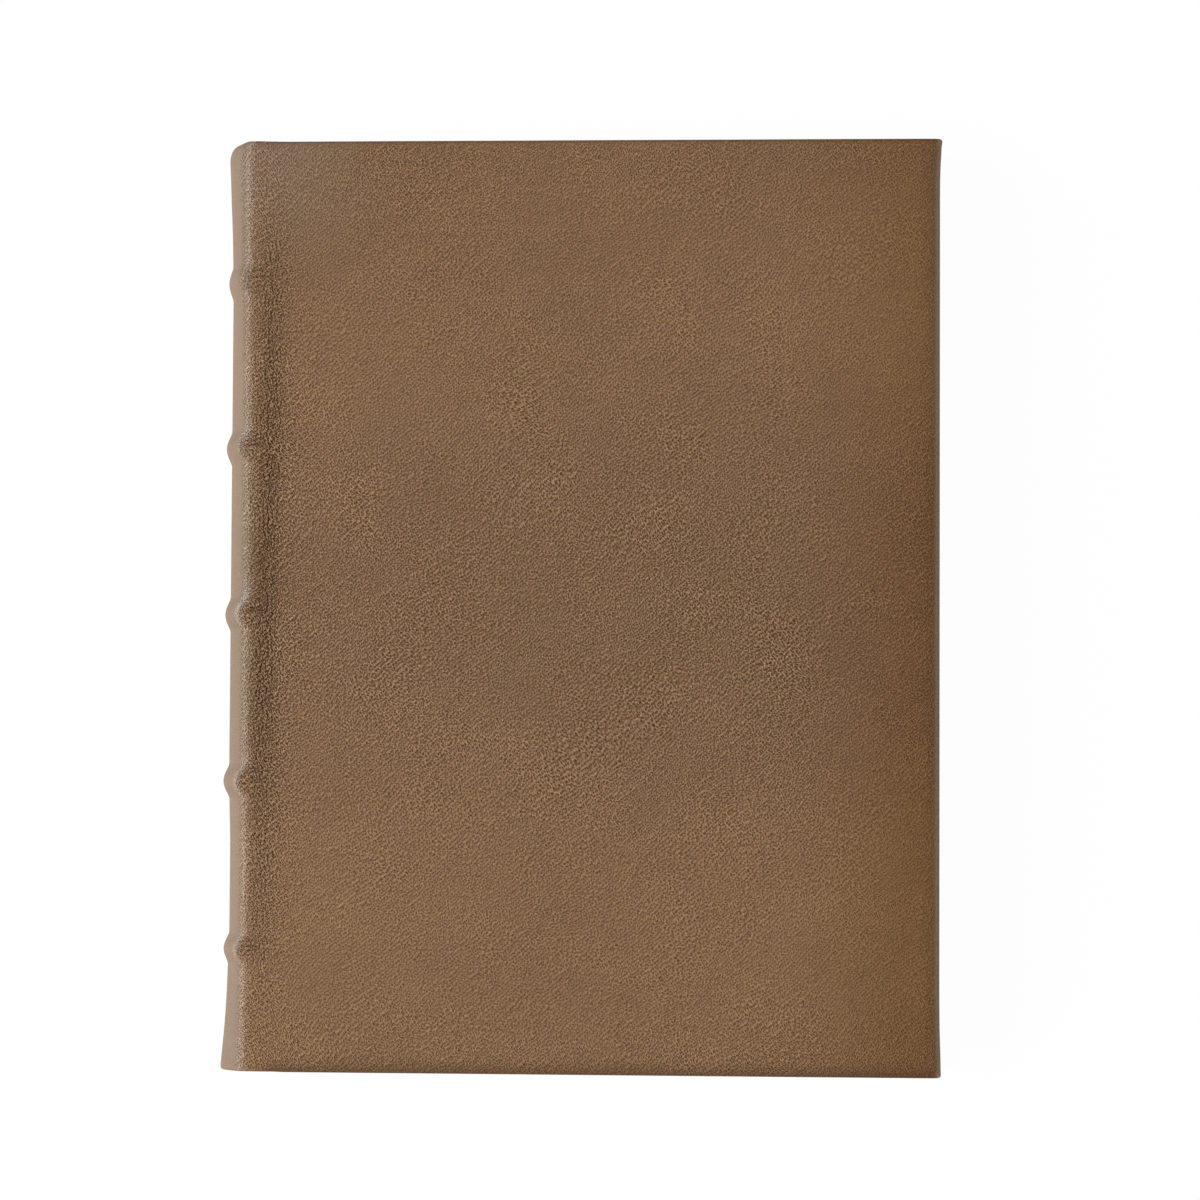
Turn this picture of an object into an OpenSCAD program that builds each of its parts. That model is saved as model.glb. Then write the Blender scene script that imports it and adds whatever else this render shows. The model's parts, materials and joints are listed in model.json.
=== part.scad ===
// Hardcover journal with a full leather cover and raised spine bands.
// It lies on its back cover: +X is the fore-edge, +Y the head, +Z the front.
// The origin is under the middle of the book, on the surface it lies on.

/* [Book] */
// Height of the covers, from head to tail
cover_h = 235; // [150:5:320]
// Width from the spine's outermost line to the fore-edge of the covers
book_w = 182; // [120:2:240]
// Thickness over both covers
book_t = 25; // [18:1:40]
// How far the covers stand out past the pages at head, tail and fore-edge
square_w = 3; // [2.5:0.25:5]

/* [Covers] */
// Thickness of the leather
leather_t = 0.8; // [0.6:0.1:1.1]
// Thickness of the boards
board_t = 2.2; // [1.5:0.1:3]
// Thickness of the leather where it is pared and turned in
turnin_t = 0.5; // [0.3:0.05:0.7]
// Width of the turned-in leather round the inside of a cover
turnin_w = 15; // [10:1:22]
// Thickness of the endpapers
paper_t = 0.2; // [0.1:0.05:0.3]
// Leather left bare round a pastedown
paste_margin = 4; // [2:0.5:8]
// Rounding of the fore-edge of a cover, on the outside
fore_round = 1.8; // [1:0.1:2.5]
// Rounding of the head and tail of a cover, on the outside
end_round = 1.2; // [0.8:0.1:2]
// Rounding of the edges of a cover, on the inside
inner_round = 0.4; // [0.2:0.1:0.5]
// Radius of the two corners of a cover, seen from the front
corner_r = 1.5; // [0.8:0.1:2.5]

/* [Joints] */
// Distance from the ridge of a shoulder to the board
joint_w = 6.5; // [5:0.5:10]
// Depth of the groove along a joint, below the cover's face
groove_d = 1; // [0.5:0.1:1.4]
// Width of the slope from the ridge down to the groove
slope_w = 2.4; // [1.5:0.1:4]
// Width of the flat ridge along a shoulder
ridge_w = 0.6; // [0.3:0.1:1.5]
// Drop of the ridge below the cover's face
ridge_drop = 0.2; // [0.1:0.05:0.5]

/* [Spine] */
// Rise of the rounded spine beyond its two ridges
spine_round = 5.7; // [4:0.1:8]
// Thickness of the cloth glued to the folded pages
mull_t = 0.3; // [0.2:0.05:0.5]
// Thickness of the paper lining over the cloth
lining_t = 0.5; // [0.3:0.05:0.8]
// Glue between the layers of the spine
glue_t = 0.05; // [0.03:0.01:0.1]
// How far the leather flares out at the head
head_flare = 0.8; // [0:0.1:2]
// Length of the flare at the head
head_flare_l = 24; // [10:1:40]
// How far the leather flares out at the tail
tail_flare = 1.9; // [0:0.1:3]
// Length of the flare at the tail
tail_flare_l = 28; // [10:1:40]
// Thickness of the leather cap over an endband
cap_t = 0.7; // [0.5:0.05:0.9]
// How far a leather cap reaches in over its endband
cap_w = 1.4; // [0.8:0.1:2]

/* [Raised bands] */
// Number of raised bands
band_n = 5; // [2:1:7]
// Distance from the head to the middle of the first band
head_panel = 35.3; // [20:0.1:50]
// Distance from the tail to the middle of the last band
tail_panel = 30.5; // [20:0.1:50]
// Height of a band
band_h = 1.3; // [0.8:0.1:2]
// Width of a band's strip
band_w = 5.6; // [4:0.1:8]
// Width that the leather adds at the foot of a band
band_foot = 1.7; // [1:0.1:3]

/* [Pages] */
// Width of the slope from a shoulder of the pages down to their face
page_slope_w = 3.4; // [2.5:0.1:5]
// Gap between a cover and the pages
page_gap = 0.1; // [0.05:0.05:0.3]
// Length of an endband's cloth, glued down the spine
endband_tail = 10; // [6:1:20]

/* [Hidden] */

$fn = 64;
leather_color = "#826650";
turnin_color = "#755a45";
board_color = "#9a9488";
paper_color = "#efe6d2";
cloth_color = "#ded6c2";
stripe_color = "#7c2f2a";

// Points along a curve
curve_n = 12;

// Spine and shoulders, seen along +Y with the middle of the thickness at z = 0
spine_x = -book_w / 2 + max(band_h, head_flare, tail_flare);
fore_x = book_w / 2;
spine_r = (pow(book_t / 2, 2) + pow(spine_round, 2)) / (2 * spine_round);
spine_cx = spine_x + spine_r;
ridge_z = book_t / 2 - ridge_drop;
ridge_x = spine_cx - sqrt(pow(spine_r, 2) - pow(ridge_z, 2)) + ridge_w;

// Layers of the spine, from the leather inwards
leather_in_r = spine_r - leather_t;
lining_out_r = leather_in_r - glue_t;
lining_in_r = lining_out_r - lining_t;
mull_out_r = lining_in_r - glue_t;
mull_in_r = mull_out_r - mull_t;
block_r = mull_in_r - glue_t;
under_ridge_z = ridge_z - leather_t;
spine_a = asin((under_ridge_z - glue_t) / lining_out_r);

// Covers
cover_t = leather_t + board_t + turnin_t + paper_t;
board_x = ridge_x + joint_w;
skin_t = cover_t - paper_t;

// Pages
pages_h = cover_h - 2 * square_w;
pages_t = book_t - 2 * (cover_t + page_gap + paper_t);
pages_fore_x = fore_x - square_w;
page_tip_x = spine_cx - block_r * cos(spine_a);
page_tip_z = block_r * sin(spine_a);
page_foot_x = page_tip_x + ridge_w + page_slope_w;

// Endbands fill the square under the leather caps
endband_d = square_w - cap_t - 2 * glue_t;
endband_bulge = 0.1;

// Raised bands, numbered from the head
band_base = band_w + band_foot;
band_pitch = (cover_h - head_panel - tail_panel) / (band_n - 1);
function band_y(k) = cover_h / 2 - head_panel - (k - 1) * band_pitch;

// Where the rounding of the leather's head and tail starts
end_y = cover_h / 2 - end_round;

// Rise from 0 to 1 and back over a width of 1 round u = 0
function bump(u) = abs(u) < 0.5 ? (1 + cos(360 * u)) / 2 : 0;
// Smooth step from 0 at u = 0 to 1 at u = 1
function ease(u) = (1 - cos(180 * min(max(u, 0), 1))) / 2;
// Rise of the leather at a height y: over the bands, and at the flared ends
function band_rise(y) =
    band_h * max([for (k = [1:band_n]) bump((y - band_y(k)) / band_base)]);
function flare(d, rise, l) = rise * pow(min(1, max(0, 1 - d / l)), 2);
function end_rise(y) =
    flare(end_y - y, head_flare, head_flare_l) + flare(end_y + y, tail_flare, tail_flare_l);

// Heights from tail to head at which the spine leather's section has a point
tail_y = band_y(band_n) - band_base / 2;
head_y = band_y(1) + band_base / 2;
spine_ys = concat(
    [for (i = [0:curve_n - 1]) -end_y + (tail_y + end_y) * i / curve_n],
    [for (k = [band_n:-1:1]) for (i = [0:curve_n]) band_y(k) + band_base * (i / curve_n - 0.5)],
    [for (i = [1:curve_n]) head_y + (end_y - head_y) * i / curve_n]
);

// Turns a section given as [radius, height] round the spine's axis, between the two shoulders
module around_spine(angle) {
    translate([spine_cx, 0, book_t / 2])
        rotate([-90, 0, 0])
            rotate([0, 0, 180 - angle])
                rotate_extrude(angle = 2 * angle, $fn = 180)
                    children();
}

// Draws a section given as [x, z from the middle of the thickness] along the book's height
module along_height(h) {
    translate([0, h / 2, book_t / 2])
        rotate([90, 0, 0])
            linear_extrude(h)
                children();
}

// Turns what is drawn for the front over to the back
module at_back() {
    translate([0, 0, book_t])
        mirror([0, 0, 1])
            children();
}

// Flat layer at the inside or core of the front cover, from z0 up
module flat_layer(x0, x1, h, z0, t) {
    translate([x0, -h / 2, z0])
        cube([x1 - x0, h, t]);
}

// Everything round the spine up to a given height above and below the middle
module between_ridges(x1, z) {
    x0 = -book_w;
    translate([x0, -cover_h, book_t / 2 - z])
        cube([x1 - x0, 2 * cover_h, 2 * z]);
}

// Rectangle with its own radius at each corner: lower left, lower right, upper right, upper left
module rounded_rect(w, h, r) {
    corners = [[0, 0], [w, 0], [w, h], [0, h]];
    inward = [[1, 1], [-1, 1], [-1, -1], [1, -1]];
    difference() {
        square([w, h]);
        for (i = [0:3])
            if (r[i] > 0)
                translate(corners[i])
                    facing(inward[i])
                        difference() {
                            translate([-1, -1]) square(1 + r[i]);
                            translate([r[i], r[i]]) circle(r[i]);
                        }
    }
}

// Mirrors a shape drawn for the lower left corner to the corner that faces the given way
module facing(way) {
    mirror([way[0] < 0 ? 1 : 0, 0])
        mirror([0, way[1] < 0 ? 1 : 0])
            children();
}

// Pages: round at the spine, with a shoulder on each side, and hollow at the fore-edge
module page_section() {
    slope = [for (i = [0:curve_n])
        [page_foot_x + page_slope_w * (i / curve_n - 1),
         page_tip_z + (pages_t / 2 - page_tip_z) * ease(i / curve_n)]];
    upper = concat([[spine_x, page_tip_z]], slope, [[pages_fore_x, pages_t / 2]]);
    lower = [for (i = [len(upper) - 1:-1:0]) [upper[i][0], -upper[i][1]]];
    difference() {
        polygon(concat(upper, lower));
        difference() {
            translate([spine_x - ridge_w, -book_t])
                square([spine_cx - spine_x + ridge_w, 2 * book_t]);
            translate([spine_cx, 0]) circle(block_r, $fn = 180);
        }
        translate([pages_fore_x + sqrt(pow(block_r, 2) - pow(pages_t / 2, 2)), 0])
            circle(block_r, $fn = 180);
    }
}

module text_block() {
    color(paper_color)
        along_height(pages_h)
            page_section();
}

// Free half of the front endpaper, from its fold to the fore-edge
module front_flyleaf() {
    color(paper_color)
        flat_layer(page_foot_x, pages_fore_x, pages_h, book_t / 2 + pages_t / 2, paper_t);
}

module back_flyleaf() {
    at_back() front_flyleaf();
}

// Open cloth over the folds of the pages, between the endbands' own cloths
module mull() {
    h = pages_h - 2 * endband_tail - 2 * glue_t;
    color(cloth_color)
        around_spine(spine_a)
            translate([mull_in_r, -h / 2])
                square([mull_t, h]);
}

module spine_lining() {
    color("#b59a72")
        around_spine(spine_a)
            translate([lining_in_r, -pages_h / 2])
                square([lining_t, pages_h]);
}

// Strip across the spine that raises the leather
module band(k) {
    section = [for (i = [0:curve_n])
        let (u = i / curve_n - 0.5)
        [lining_out_r + band_h * bump(u), band_y(k) + band_w * u]];
    color(turnin_color)
        intersection() {
            around_spine(spine_a) polygon(section);
            between_ridges(ridge_x, under_ridge_z - glue_t);
        }
}

// Rolled band on the end of the pages, with its cloth glued down the spine
module endband() {
    color(stripe_color)
        around_spine(spine_a - 4) {
            translate([mull_out_r + endband_bulge - endband_d / 2,
                       pages_h / 2 + glue_t + endband_d / 2])
                circle(endband_d / 2);
            translate([mull_in_r, pages_h / 2 - endband_tail])
                square([mull_t, endband_tail + glue_t + endband_d / 2]);
        }
}

module head_endband() {
    endband();
}

module tail_endband() {
    mirror([0, 1, 0]) endband();
}

// Outside of the leather round the spine: it rises over the bands and flares at the ends
module spine_outer_section() {
    outer = [for (y = spine_ys) [spine_r + band_rise(y) + end_rise(y), y]];
    ends = [for (side = [1, -1]) [for (a = [15:15:90])
        [spine_r + end_rise(side * end_y) - end_round * (1 - cos(a)),
         side * (end_y + end_round * sin(a))]]];
    tail_turn = [for (i = [len(ends[1]) - 1:-1:0]) ends[1][i]];
    polygon(concat([[block_r / 2, -cover_h / 2]], tail_turn, outer, ends[0],
                   [[block_r / 2, cover_h / 2]]));
}

// Hollow of that leather, which leaves a cap over each endband
module spine_inner_section() {
    cap_r = leather_in_r - cap_w;
    cap_y = cover_h / 2 - cap_t;
    inner = [for (y = spine_ys) [leather_in_r + band_rise(y), max(-cap_y, min(cap_y, y))]];
    polygon(concat([[block_r / 3, -cover_h], [cap_r, -cover_h], [cap_r, -cap_y],
                    [leather_in_r, -cap_y]],
                   inner,
                   [[leather_in_r, cap_y], [cap_r, cap_y], [cap_r, cover_h],
                    [block_r / 3, cover_h]]));
}

module spine_leather() {
    color(leather_color)
        difference() {
            intersection() {
                around_spine(90) spine_outer_section();
                between_ridges(ridge_x, ridge_z);
            }
            intersection() {
                around_spine(90) spine_inner_section();
                between_ridges(fore_x, under_ridge_z);
            }
        }
}

// Leather along a joint, from the ridge down into the groove and on to the board
module joint_section() {
    top = concat(
        [for (i = [0:curve_n])
            [ridge_x + slope_w * i / curve_n,
             -ridge_drop - (groove_d - ridge_drop) * ease(i / curve_n)]],
        [[board_x, -groove_d]]
    );
    under = [for (i = [len(top) - 1:-1:0]) top[i] - [0, leather_t]];
    translate([0, book_t / 2])
        polygon(concat(top, under));
}

module front_joint_leather() {
    color(leather_color)
        along_height(cover_h)
            joint_section();
}

module back_joint_leather() {
    at_back() front_joint_leather();
}

// Outer form of the front cover's leather
module cover_form() {
    w = fore_x - board_x;
    intersection() {
        translate([0, cover_h / 2, 0])
            rotate([90, 0, 0])
                linear_extrude(cover_h)
                    translate([board_x, book_t - skin_t])
                        rounded_rect(w, skin_t, [0, inner_round, fore_round, groove_d]);
        translate([board_x, 0, 0])
            rotate([90, 0, 90])
                linear_extrude(w)
                    translate([-cover_h / 2, book_t - skin_t])
                        rounded_rect(cover_h, skin_t,
                                     [inner_round, inner_round, end_round, end_round]);
        translate([board_x, -cover_h / 2, book_t - skin_t])
            linear_extrude(skin_t)
                rounded_rect(w, cover_h, [0, corner_r, corner_r, 0]);
    }
}

module front_board() {
    color(board_color)
        flat_layer(board_x + leather_t, fore_x - leather_t, cover_h - 2 * leather_t,
                   book_t - leather_t - board_t, board_t);
}

// Card that levels the inside of the cover within the turned-in leather
module front_infill() {
    color(board_color)
        flat_layer(board_x + leather_t, fore_x - turnin_w, cover_h - 2 * turnin_w,
                   book_t - skin_t, turnin_t);
}

// Half of the front endpaper that is pasted to the cover
module front_pastedown() {
    color(paper_color)
        flat_layer(board_x + leather_t, fore_x - paste_margin, cover_h - 2 * paste_margin,
                   book_t - cover_t, paper_t);
}

module front_cover_leather() {
    color(leather_color)
        difference() {
            cover_form();
            front_board();
            flat_layer(board_x + leather_t, fore_x - turnin_w, cover_h - 2 * turnin_w,
                       book_t - skin_t - 1, turnin_t + 1);
        }
}

module back_board() {
    at_back() front_board();
}

module back_infill() {
    at_back() front_infill();
}

module back_pastedown() {
    at_back() front_pastedown();
}

module back_cover_leather() {
    at_back() front_cover_leather();
}

text_block();
front_flyleaf();
back_flyleaf();
mull();
spine_lining();
for (k = [1:band_n])
    band(k);
head_endband();
tail_endband();
spine_leather();
front_joint_leather();
back_joint_leather();
front_board();
front_infill();
front_pastedown();
front_cover_leather();
back_board();
back_infill();
back_pastedown();
back_cover_leather();
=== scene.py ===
"""Hardcover journal in full leather, lying closed on its back cover and seen from above.

Shapes are worked out in millimetres and put into the meshes in metres. On the leather, u is
the distance from the middle of the spine over a ridge to the fore-edge, v the height from tail
to head, and q the depth under the outside. The back is the front turned over.
"""
import json
import math

import bpy
import numpy as np
from mathutils import Euler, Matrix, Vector

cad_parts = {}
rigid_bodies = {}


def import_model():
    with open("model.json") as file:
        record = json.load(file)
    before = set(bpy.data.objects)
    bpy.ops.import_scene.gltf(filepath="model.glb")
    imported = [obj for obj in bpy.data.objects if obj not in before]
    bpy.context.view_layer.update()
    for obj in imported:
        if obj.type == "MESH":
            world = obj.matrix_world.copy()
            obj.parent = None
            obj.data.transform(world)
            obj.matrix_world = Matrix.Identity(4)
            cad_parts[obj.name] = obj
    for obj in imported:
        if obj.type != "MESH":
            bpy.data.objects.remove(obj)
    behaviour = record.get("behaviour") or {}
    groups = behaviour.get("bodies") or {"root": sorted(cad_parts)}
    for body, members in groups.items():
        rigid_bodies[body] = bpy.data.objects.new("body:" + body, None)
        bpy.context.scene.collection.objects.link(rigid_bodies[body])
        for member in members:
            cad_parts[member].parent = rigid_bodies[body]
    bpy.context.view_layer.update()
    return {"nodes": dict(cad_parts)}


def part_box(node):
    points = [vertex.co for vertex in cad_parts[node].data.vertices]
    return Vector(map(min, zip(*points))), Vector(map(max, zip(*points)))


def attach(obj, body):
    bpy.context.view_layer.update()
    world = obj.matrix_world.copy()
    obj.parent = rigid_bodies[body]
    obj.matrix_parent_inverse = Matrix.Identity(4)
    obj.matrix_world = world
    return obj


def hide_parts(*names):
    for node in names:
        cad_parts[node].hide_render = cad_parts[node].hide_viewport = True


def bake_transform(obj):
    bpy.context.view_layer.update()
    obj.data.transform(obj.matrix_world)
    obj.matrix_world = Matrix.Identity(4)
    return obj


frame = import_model()

MM = 0.001


def node_box(name):
    """Lowest and highest corner of a CAD node, in millimetres."""
    low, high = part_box(name)
    return np.array(low) / MM, np.array(high) / MM


# Sizes of the binding, taken from the frame
cover_low, cover_high = node_box("front_cover_leather")
spine_high = node_box("spine_leather")[1]
lining_low = node_box("spine_lining")[0]
pages_high = node_box("text_block")[1]
flyleaf_low = node_box("front_flyleaf")[0]
paste_high = node_box("front_pastedown")[1]

THICK = cover_high[2]
MIDDLE = THICK / 2
HALF_H = cover_high[1]
FORE_X = cover_high[0]
BOARD_X = cover_low[0]
RIDGE_X = spine_high[0]
COVER_DEPTH = THICK - cover_low[2]
PAGES_HALF_H = pages_high[1]
LEATHER = 0.8
GLUE = 0.05
PAPER = 0.2
SPINE_X = lining_low[0] - GLUE - LEATHER
RIDGE_Z = spine_high[2] - MIDDLE
RIDGE_FLAT = 0.6
BAND_Y = [(node_box(f"band_{k}")[0][1] + node_box(f"band_{k}")[1][1]) / 2 for k in range(1, 6)]
BAND_TOP = sorted(BAND_Y, reverse=True)

# Form of the leather
RIDGE_SOFTNESS = 1.0
BAND_RISE = [1.05, 1.35, 1.35, 1.45, 1.25]
BAND_BASE = [8.6, 8.6, 8.6, 8.6, 7.8]
GROOVE_DEPTH = 0.68
EDGE_INSET = 2.2
FOLD_DEPTH = 1.6
# How far the cap at the head reaches in over the endband, and its height
HEAD_CAP = (2.4, 4.0)
# At each band from the head: how pale the ridge is above it, a painted highlight, and how far and over
# what width it draws the ridge's line
BAND_PAINTED_HIGHLIGHT = (0.4, 0.6, 1.0, 0.6, 0.4)
BAND_PULL = (0.3, 0.8, 1.4, 1.4, 1.2)
PULL_WIDTH = 8.6
# Where the skin's edge goes from folded leather to the whole board: how far before the board's edge
# this begins, and its width
BOARD_EDGE_SHIFT = 0.6
BOARD_EDGE_RUN = 1.8
# How softly the leather meets its greatest height, and the step that normals are taken over
CAP_SOFTNESS = 0.1
NORMAL_STEP = 0.02
# The pages' shoulder: its tip, the width of its slope and how far the paper on it goes past the flyleaf
SHOULDER_TIP_X = -82.68
SHOULDER_SLOPE = 3.4
SHOULDER_OVERLAP = 0.9


def arc_radius(edge_x, corner_x, corner_z):
    """Radius of the circle centred on z = 0 that passes (edge_x, 0) and (corner_x, corner_z)."""
    run = corner_x - edge_x
    return (run * run + corner_z * corner_z) / (2 * run)


SPINE_R = arc_radius(SPINE_X, RIDGE_X - RIDGE_FLAT, RIDGE_Z)
SPINE_CX = SPINE_X + SPINE_R
SPINE_TURN = math.asin(RIDGE_Z / SPINE_R)
RIDGE_U = SPINE_R * SPINE_TURN + RIDGE_FLAT / 2


def u_at(x):
    """u of a point on the flat part of the leather, from its x."""
    return RIDGE_U + RIDGE_FLAT / 2 + x - RIDGE_X


FORE_U = u_at(FORE_X)
BOARD_U = u_at(BOARD_X)


def ease(t):
    """Smooth step from 0 at t = 0 to 1 at t = 1: t squared times 3 - 2t."""
    t = np.clip(t, 0, 1)
    return t * t * (3 - 2 * t)


def hill(t):
    """Round hill of height 1 and width 1 about t = 0: the cosine to the power 1.25."""
    return np.cos(np.pi * np.clip(t, -0.5, 0.5)) ** 1.25


def bell(t):
    """Bell curve, 1 at t = 0."""
    return np.exp(-t * t)


def plain_section():
    """Section of the leather's outside: the spine's arc, then straight on from the ridge.

    A running average with a bell of RIDGE_SOFTNESS along the section rounds the ridge.
    """
    step = 0.05
    arc = SPINE_R * SPINE_TURN
    u = np.arange(-10, FORE_U + 10, step)
    angle = np.minimum(u, arc) / SPINE_R
    beyond = np.maximum(u - arc, 0)
    x = SPINE_CX - SPINE_R * np.cos(angle) + beyond
    z = MIDDLE + SPINE_R * np.sin(angle) + (MIDDLE - RIDGE_Z) * ease(beyond / 8)
    reach = np.arange(-3 * RIDGE_SOFTNESS, 3 * RIDGE_SOFTNESS + step, step)
    weight = np.exp(-0.5 * (reach / RIDGE_SOFTNESS) ** 2)
    weight /= weight.sum()
    return u, np.convolve(x, weight, "same"), np.convolve(z, weight, "same")


SECTION_U, SECTION_X, SECTION_Z = plain_section()

# Share of the groove's depth at distances from the ridge, and its strength along the height
GROOVE_STEPS = [0, 1.5, 2.3, 3.2, 4.1, 5.1, 6.1, 7.1, 8.1, 9.3, 11, 15, 22, 32, 42]
GROOVE_SHARE = [0, 0.01, 0.05, 0.18, 0.38, 0.59, 0.77, 0.90, 0.97, 1, 0.97, 0.82, 0.48, 0.15, 0]
GROOVE_V = [-118, -105, -92, -80, -58, -45, -38, 0, 30, 60, 78, 92, 104, 118]
GROOVE_STRENGTH = [0.05, 0.07, 0.3, 0.45, 0.5, 0.7, 0.95, 1.08, 1.0, 0.9, 0.75, 0.4, 0.15, 0.05]

# Distance of the spine's outline from an even line, to the right, along the height
SPINE_V = [-118, -92, -82, -60, -45, 80, 92, 103, 118]
SPINE_SHIFT = [0.1, 0.2, 0.5, 0.5, 0.1, 0.1, -0.15, -0.5, -0.5]


def flare(d, rise, length):
    """How far the spine's leather stands out at a distance d from its end: rise (1 - d / length)²."""
    return rise * np.clip(1 - d / length, 0, 1) ** 2


def plain_leather(u, v):
    """Outside of the leather without bands and groove: the section, carried along the height.

    The spine flares at both ends, less towards the ridge, and the cap at the head curves in
    over the endband as a quarter ellipse of HEAD_CAP wide and high.
    """
    x = np.interp(u, SECTION_U, SECTION_X)
    z = np.interp(u, SECTION_U, SECTION_Z)
    round_share = np.clip(1 - u / RIDGE_U, 0, 1)
    out = flare(HALF_H - v, 0.8, 24) + flare(HALF_H + v, 1.7, 30) - np.interp(v, SPINE_V, SPINE_SHIFT)
    x = x - out * (0.2 * (1 - ease((u - RIDGE_U) / 6)) + 0.8 * ease(round_share * 1.5))
    deep, high = HEAD_CAP
    s = np.clip((v - HALF_H + high) / high, 0, 1)
    y = np.where(s > 0, HALF_H - high + high * np.sin(s * np.pi / 2), v)
    share = 1 - ease((u - RIDGE_U + 3) / 7)
    y = v + (y - v) * share
    x = x + deep * share * (1 - np.cos(s * np.pi / 2))
    y = y + (0.12 * bell((u - RIDGE_U - 1.5) / 3) + 0.55 * bell((u - RIDGE_U + 3) / 2.8)) * s * s
    return np.stack([x, y, z], -1)


def joint_shift(v):
    """How far the joint's groove lies from its middle course, away from the spine."""
    return np.clip(0.018 * (v - 20), -0.9, 0.6)


def groove(u, v):
    """Depth of the joint's groove: the share across times the strength along, less at bands."""
    across = np.interp(u - RIDGE_U - joint_shift(v), GROOVE_STEPS, GROOVE_SHARE)
    along = np.interp(v, GROOVE_V, GROOVE_STRENGTH)
    bands = sum(bell((v - y) / 3.6) for y in BAND_TOP)
    return GROOVE_DEPTH * across * along * (1 - 0.6 * bands * bell((u - RIDGE_U - 1.5) / 2.5))


def relief(u, v):
    """How the leather departs from its plain form: bands, groove, puckers and worn edges.

    The bands rise out from the spine's axis as far as the ridge, where the cover's plane cuts
    them off. Fore-edge and tail droop as squares of the distance from the edge.
    """
    plain = plain_leather(u, v)
    x, z = plain[..., 0], plain[..., 2]
    angle = np.minimum(u / SPINE_R, SPINE_TURN)
    rise = sum(r * hill((v - y) / base) for r, base, y in zip(BAND_RISE, BAND_BASE, BAND_TOP))
    rise = rise * (1 - ease((u - RIDGE_U + 0.4) / 2.6))
    dx = -rise * np.cos(angle)
    lifted = z + rise * np.sin(angle)
    ceiling = np.maximum(np.interp(RIDGE_U + 0.6, SECTION_U, SECTION_Z) + 0.03, z + 0.02)
    capped = ceiling - CAP_SOFTNESS * np.logaddexp(0, (ceiling - lifted) / CAP_SOFTNESS)
    flat = ceiling - CAP_SOFTNESS * np.logaddexp(0, (ceiling - z) / CAP_SOFTNESS)
    dz = capped - flat - groove(u, v)
    for y in BAND_TOP:
        near = bell((u - RIDGE_U - 2.6) / 2.4) * bell((v - y - 1.4) / 2.6)
        dz = dz - 0.07 * near * np.cos(2 * np.pi * (v - y) / 2.0 + 0.5 * u)
    fore = np.clip(1 - (FORE_U - u) / 5.0, 0, 1) ** 2
    wide = np.clip(1 - (FORE_U - u) / 45, 0, 1) ** 2
    tail = np.clip(1 - (HALF_H + v) / 4.8, 0, 1) ** 2
    head = np.clip(1 - (HALF_H - v) / 2.4, 0, 1) ** 2
    on_cover = ease((u - BOARD_U) / 4)
    dz = dz - 0.3 * fore - 0.2 * wide - (0.4 * tail + 0.04 * head) * on_cover
    dz = dz + 0.05 * on_cover * (np.sin(u / 17 + 0.6) * np.sin(v / 23 + 1.1) + 0.5 * np.sin(u / 9 + v / 13))
    corner = 0.7 * bell((HALF_H - v) / 7) + 0.6 * bell((HALF_H + v) / 11)
    dx = dx + (corner + 0.4) * ease((u - FORE_U + 14) / 14)
    dy = -0.2 * ease((8 - HALF_H - v) / 8) * on_cover
    return np.stack([dx, dy, dz], -1)


def outward(u, v):
    """Normal of the plain leather, from the cross product of its slopes along u and v."""
    along_u = plain_leather(u + NORMAL_STEP, v) - plain_leather(u - NORMAL_STEP, v)
    inner = np.minimum(v, HALF_H - NORMAL_STEP)
    along_v = plain_leather(u, inner + NORMAL_STEP) - plain_leather(u, inner - NORMAL_STEP)
    normal = np.cross(along_u, along_v)
    return normal / np.linalg.norm(normal, axis=-1, keepdims=True)


def skin_depth(u, v):
    """Thickness at the edges: folded leather on spine and joint, the whole board on the cover."""
    spine_middle = ease((HALF_H - np.abs(v) - 4) / 6) * (1 - ease((u - RIDGE_U + 1) / 2))
    fold = FOLD_DEPTH - (FOLD_DEPTH - LEATHER) * spine_middle
    return fold + (COVER_DEPTH - FOLD_DEPTH) * ease((u - BOARD_U + BOARD_EDGE_SHIFT) / BOARD_EDGE_RUN)


def leather(u, v, q):
    """A point of the skin: the plain leather, less q along its normal, plus the relief.

    The relief fades out with depth, so that the inside lies flat on the board.
    """
    fade = 1 - ease(q / skin_depth(u, v))
    return plain_leather(u, v) - q[..., None] * outward(u, v) + relief(u, v) * fade[..., None]


def graded(stops, steps):
    """Numbers that pass the given stops, each stretch cut into equal steps of about its size."""
    parts = [
        np.linspace(a, b, max(1, int(math.ceil((b - a) / step))), endpoint=False)
        for a, b, step in zip(stops[:-1], stops[1:], steps)
    ]
    return np.concatenate(parts + [np.array([stops[-1]])])


def skin_columns():
    """Values of u from the spine's middle to the inset line of the fore-edge."""
    stops = [0, 0.3, 1.5, 10, RIDGE_U - 2, RIDGE_U + 10, RIDGE_U + 16, RIDGE_U + 30,
             FORE_U - 20, FORE_U - 7, FORE_U - EDGE_INSET]
    return graded(stops, [0.1, 0.3, 0.6, 0.45, 0.32, 0.6, 1.2, 2.6, 1.2, 0.4])


def skin_rows():
    """Values of v from tail to head, closer together over the bands and near the ends."""
    end = HALF_H - EDGE_INSET
    half = max(BAND_BASE) / 2 + 0.6
    stops, steps = [-end, -end + 4], [0.4]
    for y in sorted(BAND_TOP):
        stops += [y - half, y + half]
        steps += [1.5, 0.5]
    return graded(stops + [end - 4, end], steps + [1.5, 0.4])


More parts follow.
